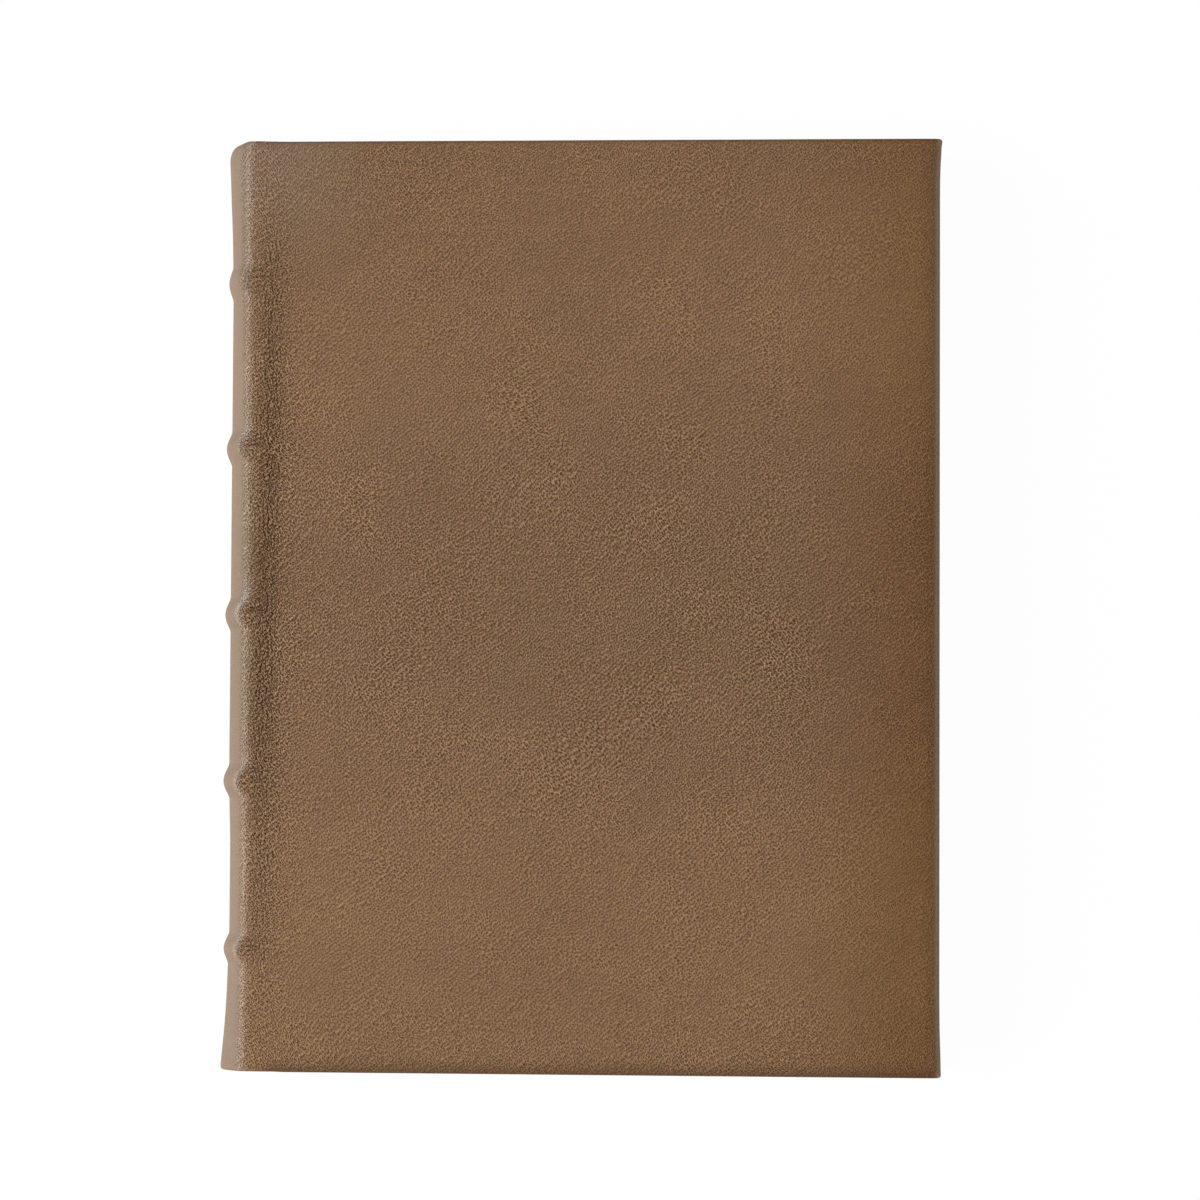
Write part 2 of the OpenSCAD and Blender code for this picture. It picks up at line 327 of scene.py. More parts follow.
def edge_profile(depth, round_out, round_in, square):
    """Way from the inset line round the edge and back: distance out and depth for each step.

    A quarter ellipse outside, a straight wall, and a quarter circle inside. The sine and the
    cosine of the ellipse are taken to the power square, and under 1 it grows squarer. All four
    are arrays over the stations, and the result has one row for each step.
    """
    quarter = np.linspace(0, np.pi / 2, 10)[:, None]
    out = EDGE_INSET * np.sin(quarter) ** square
    down = round_out * (1 - np.clip(np.cos(quarter), 0, 1) ** square)
    wall = np.linspace(0, 1, 5)[1:-1, None]
    wall_down = round_out + (depth - round_in - round_out) * wall
    turn = np.linspace(0, np.pi / 2, 6)[:, None]
    under_out = EDGE_INSET - round_in * (1 - np.cos(turn))
    under_down = depth - round_in + round_in * np.sin(turn)
    back = np.linspace(1, 0, 4)[1:, None]
    back_out = (EDGE_INSET - round_in) * back
    return (
        np.concatenate([out, EDGE_INSET + 0 * wall_down, under_out, back_out]),
        np.concatenate([down, wall_down, under_down, depth + 0 * back_out]),
    )


def grid_faces(rows, columns, offset=0):
    """Quads of a grid whose vertices are numbered along each row, as corner numbers."""
    row, column = np.meshgrid(np.arange(rows - 1), np.arange(columns - 1), indexing="ij")
    first = offset + row * columns + column
    return np.stack([first, first + 1, first + columns + 1, first + columns], -1).reshape(-1, 4)


def make_piece(name, points, faces, maps=None, masks=None):
    """Object at the origin from points in millimetres and faces with three or four corners.

    maps holds one u, v pair for each point, in millimetres, and masks holds named numbers.
    """
    mesh = bpy.data.meshes.new(name)
    corners = [[int(c) for i, c in enumerate(face) if c != face[i - 1]] for face in faces]
    corners = [face for face in corners if len(face) > 2]
    mesh.from_pydata((points * MM).tolist(), [], corners)
    mesh.polygons.foreach_set("use_smooth", np.ones(len(mesh.polygons), bool))
    if maps is not None:
        layer = mesh.uv_layers.new(name="surface")
        index = np.zeros(len(mesh.loops), int)
        mesh.loops.foreach_get("vertex_index", index)
        layer.data.foreach_set("uv", (maps[index] * MM).astype(np.float32).ravel())
    for key, values in (masks or {}).items():
        attribute = mesh.attributes.new(key, "FLOAT", "POINT")
        attribute.data.foreach_set("value", np.asarray(values, np.float32))
    mesh.validate()
    mesh.update()
    piece = bpy.data.objects.new(name, mesh)
    bpy.context.scene.collection.objects.link(piece)
    return piece


def skin_mesh():
    """Points, faces, surface map and masks of the leather over half the spine and one cover.

    Two grids over u and v, one outside and one inside, are joined round tail, fore-edge and
    head by rings of the edge profile, with a fan of stations at each corner, and along the
    spine's middle by a straight strip.
    """
    columns, rows = skin_columns(), skin_rows()
    across, along = len(columns), len(rows)
    v, u = np.meshgrid(rows, columns, indexing="ij")
    fan = np.linspace(0, np.pi / 2, 12)[1:-1]
    number = np.arange(along * across).reshape(along, across)
    last_u, last_v = columns[-1], rows[-1]
    start_u = np.concatenate([columns, np.full(len(fan), last_u), np.full(along, last_u),
                              np.full(len(fan), last_u), columns[::-1]])
    start_v = np.concatenate([np.full(across, -last_v), np.full(len(fan), -last_v), rows,
                              np.full(len(fan), last_v), np.full(across, last_v)])
    way = np.concatenate([np.full(across, -np.pi / 2), fan - np.pi / 2, np.zeros(along),
                          fan, np.full(across, np.pi / 2)])
    first = np.concatenate([number[0], np.full(len(fan), number[0, -1]), number[:, -1],
                            np.full(len(fan), number[-1, -1]), number[-1][::-1]])
    depth = skin_depth(start_u, start_v)
    on_cover = ease((start_u - BOARD_U + BOARD_EDGE_SHIFT) / BOARD_EDGE_RUN)
    fore = np.abs(np.cos(way))
    round_out = 0.75 + (0.4 + 0.95 * fore**2) * on_cover
    round_in = 0.6 - 0.15 * on_cover
    squarer = np.where(start_u < RIDGE_U, np.abs(np.sin(way)), np.clip(np.sin(way), 0, 1))
    out, down = edge_profile(depth, round_out, round_in, 1 - 0.4 * squarer)
    square = (np.abs(np.cos(way)) ** 6 + np.abs(np.sin(way)) ** 6) ** (-1 / 6)
    ring_u = start_u + out[1:-1] * np.cos(way) * square
    ring_v = start_v + out[1:-1] * np.sin(way) * square
    steps = len(ring_u)
    flat = along * across
    outside = leather(u, v, np.zeros_like(u)).reshape(-1, 3)
    inside = leather(u, v, skin_depth(u, v)).reshape(-1, 3)
    ring = leather(ring_u, ring_v, down[1:-1]).reshape(-1, 3)
    points = np.concatenate([outside, inside, ring])
    stations = len(start_u)
    around = 2 * flat + np.arange(steps * stations).reshape(steps, stations)
    around = np.concatenate([first[None], around, flat + first[None]])
    quads = np.stack([around[:-1, :-1], around[1:, :-1], around[1:, 1:], around[:-1, 1:]], -1)
    edge = around[:, [0, -1]]
    spine_out = number[:, 0]
    tail_end, head_end = edge[1:-1, 0], edge[1:-1, 1]
    strip = np.stack([spine_out[:-1], spine_out[1:], flat + spine_out[1:], flat + spine_out[:-1]], -1)
    faces = [grid_faces(along, across), grid_faces(along, across, flat)[:, ::-1],
             quads.reshape(-1, 4), strip[:, ::-1]]
    ends = [np.concatenate([[spine_out[0]], tail_end, [flat + spine_out[0]]])[::-1],
            np.concatenate([[spine_out[-1]], head_end, [flat + spine_out[-1]]])]
    travel = np.cumsum(np.hypot(np.diff(out, axis=0), np.diff(down, axis=0)), axis=0)[:-1]
    map_ring = np.stack([start_u + travel * np.cos(way), start_v + travel * np.sin(way)], -1)
    flat_map = np.stack([u, v], -1).reshape(-1, 2)
    maps = np.concatenate([flat_map, flat_map + 7.3, map_ring.reshape(-1, 2)])
    where_u = np.concatenate([u.ravel(), u.ravel(), ring_u.ravel()])
    where_v = np.concatenate([v.ravel(), v.ravel(), ring_v.ravel()])
    return points, faces, ends, maps, leather_masks(where_u, where_v)


def leather_masks(u, v):
    """Numbers from 0 to about 1 for the material, worked out over u and v.

    They say where the leather is creased and puckered, with painted shade in both; where the ridge is worn
    and has a painted highlight; where a painted sheen lies; where the fore-edge's rounding is worn by
    rubbing and has a painted highlight; where painted shade lies at its edges and towards the fore-edge;
    which part is the smooth spine, greyer for being worn and for a painted reflection; and how strong its
    tone, with painted light and shade along the height, and its grain are.
    """
    d = u - RIDGE_U
    along = np.interp(v, GROOVE_V, GROOVE_STRENGTH)
    # crease marks the joint's real creases; where the colour darkens them, that is painted shade in the
    # groove
    crease = bell((d - 5.6 - joint_shift(v)) / 2.7) * np.clip(along, 0, 1.2)
    # band_highlight: painted highlight on the ridge above each band
    band_highlight = sum(s * bell((v - y - 3.2) / 3.4) for s, y in zip(BAND_PAINTED_HIGHLIGHT, BAND_TOP))
    ridge = d + sum(s * hill((v - y) / PULL_WIDTH) for s, y in zip(BAND_PULL, BAND_TOP))
    # Paler ridge: worn leather plus a painted highlight along the ridge and above the bands
    wear_and_highlight = bell((ridge + 0.1) / 1.2) * (0.42 + 0.58 * np.clip(band_highlight, 0, 1))
    # pucker marks the wrinkles beside each band; where the colour darkens them, that is painted shade
    pucker = sum(bell((v - y - 1.2) / 2.4) for y in BAND_TOP) * bell((d - 2.2) / 2.4)
    # rim: painted shade that grows towards the fore-edge, away from the left lamps, and is stronger towards
    # the tail
    fore_shade_share = 0.76 + 0.4 * ease((80 - v) / 90) + 0.16 * ease((-40 - v) / 50)
    rim = np.clip((u - FORE_U + 42) / 40, 0, 1) ** 1.4 * fore_shade_share
    # tone: painted light and shade along the height: lighter over the lower and upper parts, darker across
    # the middle and at the head
    tone = 0.6 * bell((v + 80) / 34) + 0.3 * bell((v - 62) / 22) - 0.35 * bell((v - 4) / 38)
    tone = tone - 0.25 * bell((v - 116) / 24)
    # spine: the smooth spine's greyer leather, worn, and painted in place of the whitish reflection along it
    spine = 1 - ease((ridge + 1.9) / 2)
    # edge: painted shade along the rounded fore-edge, tail and head, which turn away from the lamps
    edge = np.maximum(0.3 * bell((FORE_U - u) / 3.2), bell((HALF_H + v) / 2.4) * ease((d - 2) / 6))
    edge = np.maximum(edge, 0.8 * bell((HALF_H - v) / (0.6 + 0.9 * bell(d / 10))) * ease((d + 12) / 6))
    # Painted sheen: a paler patch near the head of the joint, in place of a glossy reflection
    painted_sheen = bell((d - 8) / 16) * ease((v - 80) / 35) * ease((d + 1) / 3)
    # Pale line on the fore-edge's rounding: rubbed leather plus a painted highlight of light from the right
    rubbed_and_highlight = bell((u - FORE_U + 0.75) / 0.75)
    grain = 0.2 + 0.85 * ease((d + 3.0 + 1.2 * ease((v - 60) / 40)) / 2.2)
    grain = grain + 0.35 * bell((d - 6.5) / 4) * along
    grain = grain * (1 - 0.35 * ease((u - FORE_U + 45) / 45)) * (0.7 + 0.3 * bell((v + 5) / 85))
    grain = grain * (1 - 0.4 * ease((np.abs(v) - HALF_H + 2.5) / 2))
    return {"crease": crease, "wear_and_highlight": wear_and_highlight, "edge": edge, "grain": grain, "spine": spine, "rim": rim,
            "tone": tone, "painted_sheen": painted_sheen, "rubbed_and_highlight": rubbed_and_highlight, "pucker": pucker}


def make_skin(name, turned_over):
    """Leather over half the spine and one cover, as one closed piece."""
    points, faces, ends, maps, masks = skin_mesh()
    quads = np.concatenate(faces).tolist() + [end.tolist() for end in ends]
    if turned_over:
        points = points * [1, 1, -1] + [0, 0, THICK]
        quads = [face[::-1] for face in quads]
        maps = maps + [271.0, 93.0]
    return make_piece(name, points, quads, maps, masks)


front_skin = make_skin("front_skin", False)
back_skin = make_skin("back_skin", True)
for piece, side, z in ((front_skin, "front", THICK), (back_skin, "back", 0.0)):
    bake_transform(piece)
    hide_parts(f"{side}_joint_leather", f"{side}_cover_leather", "spine_leather")


def sheet(name, upper, lower, maps=None):
    """Closed thin piece between two grids of points of the same shape, upper outwards."""
    rows, columns = upper.shape[:2]
    count = rows * columns
    number = np.arange(count).reshape(rows, columns)
    loop = np.concatenate([number[0], number[1:, -1], number[-1, -2::-1], number[-2:0:-1, 0]])
    after = np.roll(loop, -1)
    rim = np.stack([loop, count + loop, count + after, after], -1)
    faces = np.concatenate([grid_faces(rows, columns), grid_faces(rows, columns, count)[:, ::-1], rim])
    points = np.concatenate([upper.reshape(-1, 3), lower.reshape(-1, 3)])
    both = None if maps is None else np.concatenate([maps.reshape(-1, 2)] * 2)
    return make_piece(name, points, faces.tolist(), both)


def over(points, turned_over):
    """The same points for the back: turned over about the middle of the thickness."""
    return points * [1, 1, -1] + [0, 0, THICK] if turned_over else points


def joint_paper(name, turned_over):
    """Endpaper under the joint's leather, from the pages' shoulder down the board to the pastedown.

    It follows the inside of the skin at a small distance, and is as high as the pastedown.
    """
    over_joint = np.linspace(RIDGE_U + 0.2, BOARD_U - 0.8, 26)
    over_board = np.linspace(BOARD_U - 0.6, BOARD_U + 3, 30)
    u = np.concatenate([over_joint, over_board])
    v = np.linspace(-paste_high[1], paste_high[1], 60)
    v, u = np.meshgrid(v, u, indexing="ij")
    depth = FOLD_DEPTH + (COVER_DEPTH - FOLD_DEPTH) * ease((u - BOARD_U + 0.7) / 1.7)
    near = plain_leather(u, v) - (depth + 0.02)[..., None] * outward(u, v)
    far = plain_leather(u, v) - (depth + PAPER + 0.04)[..., None] * outward(u, v)
    near, far = over(near, turned_over), over(far, turned_over)
    maps = np.stack([u, v], -1)
    return sheet(name, far, near, maps) if turned_over else sheet(name, near, far, maps)


def shoulder_paper(name, turned_over):
    """Endpaper on the shoulder of the pages, from the flyleaf's fold up to the shoulder's tip.

    Its height over the slope follows a half cosine, as the slope under it does.
    """
    t = np.linspace(0, 1, 22)
    y = np.linspace(-PAGES_HALF_H, PAGES_HALF_H, 40)
    y, t = np.meshgrid(y, t, indexing="ij")
    tip_x, tip_z = SHOULDER_TIP_X, pages_high[2]
    foot_x, foot_z = flyleaf_low[0], flyleaf_low[2]
    x = tip_x + 0.15 + (foot_x + SHOULDER_OVERLAP - tip_x) * t
    slope = np.clip((foot_x - x) / SHOULDER_SLOPE, 0, 1)
    z = foot_z + (tip_z - foot_z) * (1 - np.cos(np.pi * slope)) / 2
    near = np.stack([x, y, z + 0.22], -1)
    far = np.stack([x + 0.04, y, z + 0.02], -1)
    near, far = over(near, turned_over), over(far, turned_over)
    maps = np.stack([x, y], -1)
    return sheet(name, far, near, maps) if turned_over else sheet(name, near, far, maps)


def endband_roll(name, side):
    """Endband wound with thread: a tube along an arc about the spine's axis.

    Its radius follows the thread as a rounded wave along the arc, and both ends are closed
    by letting the radius fall to nothing as a quarter circle.
    """
    turns, radius, reach = 96, 0.98, math.radians(43.2)
    along = np.linspace(-1, 1, turns * 8 + 1)
    around = np.linspace(0, 2 * np.pi, 17)[:-1]
    s, a = np.meshgrid(along, around, indexing="ij")
    lean = s + a / (2 * np.pi) * 2 / turns
    thread = np.abs(np.sin(np.pi * turns / 2 * lean)) ** 0.6
    close = np.sqrt(np.clip(1 - np.clip((np.abs(s) - 0.975) / 0.025, 0, 1) ** 2, 0, 1))
    r = (radius - 0.1 + 0.1 * thread) * close
    angle = s * reach
    centre_r = SPINE_R - LEATHER - GLUE - 1.55 + r * np.cos(a)
    x = SPINE_CX - centre_r * np.cos(angle)
    z = MIDDLE + centre_r * np.sin(angle)
    y = side * (PAGES_HALF_H + radius + 0.05 + r * np.sin(a))
    points = np.stack([x, y, z], -1).reshape(-1, 3)
    rows, columns = s.shape
    number = np.arange(rows * columns).reshape(rows, columns)
    wrap = np.concatenate([number, number[:, :1]], 1)
    quads = np.stack([wrap[:-1, :-1], wrap[:-1, 1:], wrap[1:, 1:], wrap[1:, :-1]], -1).reshape(-1, 4)
    faces = quads.tolist() + [number[0].tolist(), number[-1][::-1].tolist()]
    if side > 0:
        faces = [face[::-1] for face in faces]
    maps = np.stack([lean * turns / 2, a], -1).reshape(-1, 2)
    return make_piece(name, points, faces, maps)


for side_name, turned in (("front", False), ("back", True)):
    paper = joint_paper(f"{side_name}_joint_paper", turned)
    z = 0.0 if turned else THICK
    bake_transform(paper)
    fold = shoulder_paper(f"{side_name}_shoulder_paper", turned)
    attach(fold, "book_block")
for end_name, side in (("head", 1), ("tail", -1)):
    roll = endband_roll(f"{end_name}_endband_roll", side)
    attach(roll, "book_block")
    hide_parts(f"{end_name}_endband")

# Camera: place and turn fitted to the outline of the cover in the photograph
CAMERA_PLACE = (0.0592, -0.0390, 0.950)
CAMERA_TURN = (math.radians(2.5), math.radians(3.27), math.radians(0.28))
CAMERA_FOCAL_PIXELS = 3695
PHOTO_PIXELS = 1200

camera_data = bpy.data.cameras.new("camera")
camera_data.sensor_width = 36
camera_data.lens = 36 * CAMERA_FOCAL_PIXELS / PHOTO_PIXELS
camera_data.clip_start = 0.05
camera_data.clip_end = 20
camera = bpy.data.objects.new("camera", camera_data)
camera.location = CAMERA_PLACE
camera.rotation_mode = "XYZ"
camera.rotation_euler = Euler(CAMERA_TURN, "XYZ")
bpy.context.scene.collection.objects.link(camera)
bpy.context.scene.camera = camera


LAMP_AIM = (0, 0, 0.02)


def soft_lamp(name, place, size, power):
    """White rectangular area lamp at a place in metres, facing LAMP_AIM."""
    data = bpy.data.lights.new(name, "AREA")
    data.shape = "RECTANGLE"
    data.size, data.size_y = size
    data.energy = power
    lamp = bpy.data.objects.new(name, data)
    lamp.location = place
    lamp.rotation_mode = "QUATERNION"
    lamp.rotation_quaternion = (Vector(LAMP_AIM) - Vector(place)).to_track_quat("-Z", "Y")
    bpy.context.scene.collection.objects.link(lamp)
    return lamp


soft_lamp("low_softbox", (-2.152, 0, 0.477), (1.8, 0.8), 36)
soft_lamp("left_softbox", (-1.802, 0, 1.280), (1.8, 1.8), 42)
soft_lamp("tail_softbox", (-1.274, -1.274, 1.280), (1.8, 1.8), 12)
soft_lamp("right_softbox", (2.05, -0.55, 0.70), (1.6, 1.2), 5)


def add(tree, kind, inputs=None, **settings):
    """Adds a node, sets what it is told, and links or fills its inputs by name or number."""
    made = tree.nodes.new(kind)
    for key, value in settings.items():
        setattr(made, key, value)
    for key, value in (inputs or {}).items():
        if isinstance(value, bpy.types.NodeSocket):
            tree.links.new(value, made.inputs[key])
        else:
            made.inputs[key].default_value = value
    return made


def sums(tree, operation, a, b=0.0, c=0.0, clamp=False):
    """Result of a Math node."""
    made = add(tree, "ShaderNodeMath", {0: a, 1: b, 2: c}, operation=operation, use_clamp=clamp)
    return made.outputs[0]


def vector_sums(tree, operation, a, b):
    """Result of a Vector Math node."""
    return add(tree, "ShaderNodeVectorMath", {0: a, 1: b}, operation=operation).outputs[0]


def stretch(tree, value, low, high, to_low=0.0, to_high=1.0, smooth=True):
    """Maps value from low..high to to_low..to_high, held at both ends."""
    made = add(tree, "ShaderNodeMapRange",
               {"Value": value, "From Min": low, "From Max": high, "To Min": to_low, "To Max": to_high},
               interpolation_type="SMOOTHSTEP" if smooth else "LINEAR")
    return made.outputs["Result"]


def mixed(tree, share, a, b, blend="MIX"):
    """Colour a mixed with colour b."""
    made = add(tree, "ShaderNodeMix", {0: share, 6: a, 7: b}, data_type="RGBA", blend_type=blend)
    return made.outputs[2]


def noise(tree, vector, scale, detail=2.0, rough=0.5, flat=False):
    """Value of a noise texture, from 0 to 1, in the plane if flat."""
    made = add(tree, "ShaderNodeTexNoise",
               {"Vector": vector, "Scale": scale, "Detail": detail, "Roughness": rough},
               noise_dimensions="2D" if flat else "3D")
    return made.outputs["Fac"]


def wander(tree, vector, scale, reach):
    """The vector, moved about by a soft noise by up to reach."""
    made = add(tree, "ShaderNodeTexNoise", {"Vector": vector, "Scale": scale, "Detail": 1.0})
    centred = vector_sums(tree, "SUBTRACT", made.outputs["Color"], (0.5, 0.5, 0.5))
    scaled = add(tree, "ShaderNodeVectorMath", {0: centred, "Scale": reach}, operation="SCALE").outputs[0]
    return vector_sums(tree, "ADD", vector, scaled)


def new_group(name, inputs, outputs):
    """Shader node group with named number, colour or vector sockets. Returns tree, inputs, outputs."""
    tree = bpy.data.node_groups.new(name, "ShaderNodeTree")
    for key, kind, value in inputs:
        socket = tree.interface.new_socket(key, in_out="INPUT", socket_type=kind)
        if value is not None:
            socket.default_value = value
    for key, kind in outputs:
        tree.interface.new_socket(key, in_out="OUTPUT", socket_type=kind)
    return tree, tree.nodes.new("NodeGroupInput"), tree.nodes.new("NodeGroupOutput")


def new_material(name):
    """Empty node material. Returns the material, its tree and its Principled shader."""
    material = bpy.data.materials.new(name)
    material.use_nodes = True
    tree = material.node_tree
    tree.nodes.clear()
    shader = tree.nodes.new("ShaderNodeBsdfPrincipled")
    output = tree.nodes.new("ShaderNodeOutputMaterial")
    tree.links.new(shader.outputs[0], output.inputs["Surface"])
    return material, tree, shader


def use_group(tree, group, inputs):
    """Places a node group in a tree."""
    made = tree.nodes.new("ShaderNodeGroup")
    made.node_tree = group
    for key, value in inputs.items():
        if isinstance(value, bpy.types.NodeSocket):
            tree.links.new(value, made.inputs[key])
        else:
            made.inputs[key].default_value = value
    return made.outputs


def pebble_grain():
    """Pebbled grain of leather: dark pits at scattered points, and soft lengthened pebbles between.

    Direction turns the pebbles, Width and Length give their size in the vector's unit.
    """
    tree, given, result = new_group(
        "pebble_grain",
        [("Vector", "NodeSocketVector", None), ("Direction", "NodeSocketFloat", 0.0),
         ("Width", "NodeSocketFloat", 1.0), ("Length", "NodeSocketFloat", 1.8)],
        [("Height", "NodeSocketFloat"), ("Pits", "NodeSocketFloat"), ("Crowns", "NodeSocketFloat")])
    place = given.outputs["Vector"]
    drift = wander(tree, place, 0.03, 9.0)
    drift = wander(tree, drift, 0.45, 0.8)
    turned = add(tree, "ShaderNodeVectorRotate", {"Vector": drift, "Angle": given.outputs["Direction"]},
                 rotation_type="Z_AXIS").outputs[0]
    size = add(tree, "ShaderNodeCombineXYZ",
               {"X": given.outputs["Length"], "Y": given.outputs["Width"], "Z": 1.0}).outputs[0]
    grid = vector_sums(tree, "DIVIDE", turned, size)
    cells = add(tree, "ShaderNodeTexVoronoi", {"Vector": grid, "Scale": 1.0, "Randomness": 0.55},
                feature="F1", voronoi_dimensions="2D")
    chance = add(tree, "ShaderNodeSeparateColor", {0: cells.outputs["Color"]}).outputs[0]
    pit = stretch(tree, cells.outputs["Distance"], 0.5, 0.1)
    pit = sums(tree, "MULTIPLY", pit, stretch(tree, chance, 0.0, 1.0, 0.6, 1.0, False))
    worm = stretch(tree, noise(tree, grid, 2.2, 0.0, 0.5, flat=True), 0.38, 0.62)
    tree.links.new(pit, result.inputs["Pits"])
    crown = sums(tree, "MULTIPLY", worm, sums(tree, "SUBTRACT", 1.0, pit))
    tree.links.new(crown, result.inputs["Crowns"])
    height = sums(tree, "MULTIPLY_ADD", worm, 0.5, sums(tree, "MULTIPLY", pit, -1.0))
    tree.links.new(height, result.inputs["Height"])
    return tree


GRAIN = pebble_grain()


def mask(tree, name):
    """Number carried by the piece under that name."""
    return add(tree, "ShaderNodeAttribute", attribute_name=name).outputs["Fac"]


LEATHER_DARK = (0.174, 0.087, 0.035, 1)
LEATHER_LIGHT = (0.268, 0.141, 0.06, 1)
# Crowns: lighter leather plus a painted highlight of the grain's relief. Pits: darker leather plus painted
# shade; the same colour is also the painted shade of folds and edges
LEATHER_CROWN_AND_HIGHLIGHT = (0.49, 0.315, 0.178, 1)
LEATHER_PIT_AND_SHADE = (0.06, 0.022, 0.007, 1)
# Whitish leather for the worn ridge and its painted highlight, and for the painted sheen near the head
LEATHER_WORN_AND_SHEEN = (0.451, 0.406, 0.353, 1)
# Fore-edge line: rubbed leather plus a painted highlight
LEATHER_RUBBED_AND_HIGHLIGHT = (0.466, 0.316, 0.203, 1)
LEATHER_SPINE_WORN_AND_SHEEN = (0.176, 0.134, 0.1, 1)
# Multiplied in as painted shade towards the fore-edge
LEATHER_FORE_EDGE_SHADE = (0.77, 0.68, 0.53, 1)
LEATHER_SPECULAR = 0.22
# Size of the leather's pebbles and distance between its creases, in millimetres
PEBBLE_TURN = math.radians(50)
PEBBLE_WIDTH = 0.47
PEBBLE_LENGTH = 0.85
CREASES_APART = 0.95
PUCKERS_APART = 1.2

ENDPAPER_DARK = (0.64, 0.55, 0.41, 1)
ENDPAPER_LIGHT = (0.78, 0.695, 0.55, 1)
PAGE_DARK = (0.62, 0.49, 0.33, 1)
PAGE_LIGHT = (0.93, 0.85, 0.70, 1)
PAGE_AGED = (0.78, 0.66, 0.49, 1)
THREAD_RED = (0.36, 0.045, 0.035, 1)
THREAD_CREAM = (0.78, 0.70, 0.55, 1)
THREAD_GAP_SHADE = (0.07, 0.03, 0.02, 1)


def thin_lines(tree, value, apart):
    """Soft lines of value 1 on 0, as far apart as told, a third of that wide."""
    place = sums(tree, "FRACT", sums(tree, "DIVIDE", value, apart))
    return stretch(tree, sums(tree, "ABSOLUTE", sums(tree, "SUBTRACT", place, 0.5)), 0.0, 0.18, 1.0, 0.0)


